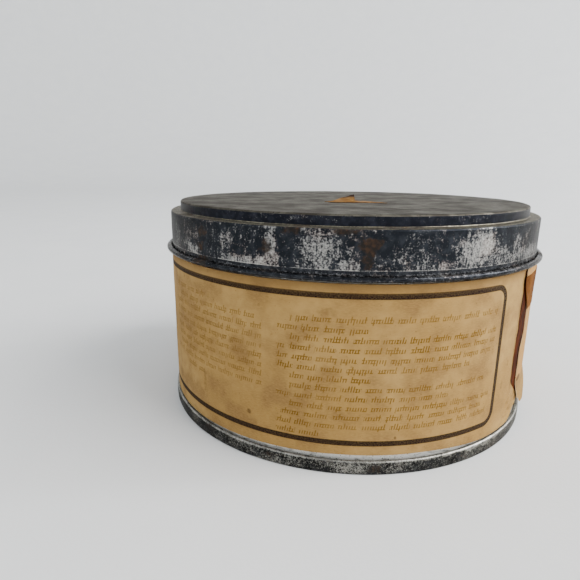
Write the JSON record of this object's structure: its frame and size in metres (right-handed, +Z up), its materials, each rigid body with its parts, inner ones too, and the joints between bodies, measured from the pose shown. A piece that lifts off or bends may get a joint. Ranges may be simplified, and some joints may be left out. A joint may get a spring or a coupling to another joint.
{
  "type": "round slip-lid tin",
  "caption": "Shallow round spice tin with a stepped lift-off slip lid, double-seamed bottom end and an aged wrap-around paper label.",
  "frame": {"origin": "centre of the seam ring that the tin stands on, on the ground plane", "axes": "+Z up along the tin's axis, -Y towards the printed panel of the label, +X towards the label's lap"},
  "size_m": [0.1108, 0.1108, 0.0615],
  "materials": {
    "body_tinplate": "bright electrolytic tinplate, lightly tarnished",
    "seam_tinplate": "dark, scuffed and rust-flecked tinplate",
    "sealing_compound": "dull grey-brown sealing compound",
    "label_paper": "aged uncoated tan paper with a dark printed border and faded print",
    "dried_glue": "dried dark brown glue, slightly glossy",
    "old_tape": "yellowed cellophane tape, amber and brittle",
    "lid_tinplate": "dark oxidised tinplate with worn pale patches, scratches and rust spots",
    "scrap_paper": "torn gummed paper, amber with a dark lifted corner"
  },
  "bodies": {
    "tin": {"body_shell": "body_tinplate", "bottom_end": "seam_tinplate", "seam_compound": "sealing_compound", "wrap_label": "label_paper", "lap_glue": "dried_glue", "label_tape": "old_tape"},
    "lid": {"lid": "lid_tinplate", "lid_scrap": "scrap_paper"}
  },
  "joints": [
    {"name": "lid_lift", "type": "slide", "parent": "tin", "child": "lid", "axis": [0, 0, 1], "range_m": [0, 0.045]}
  ]
}
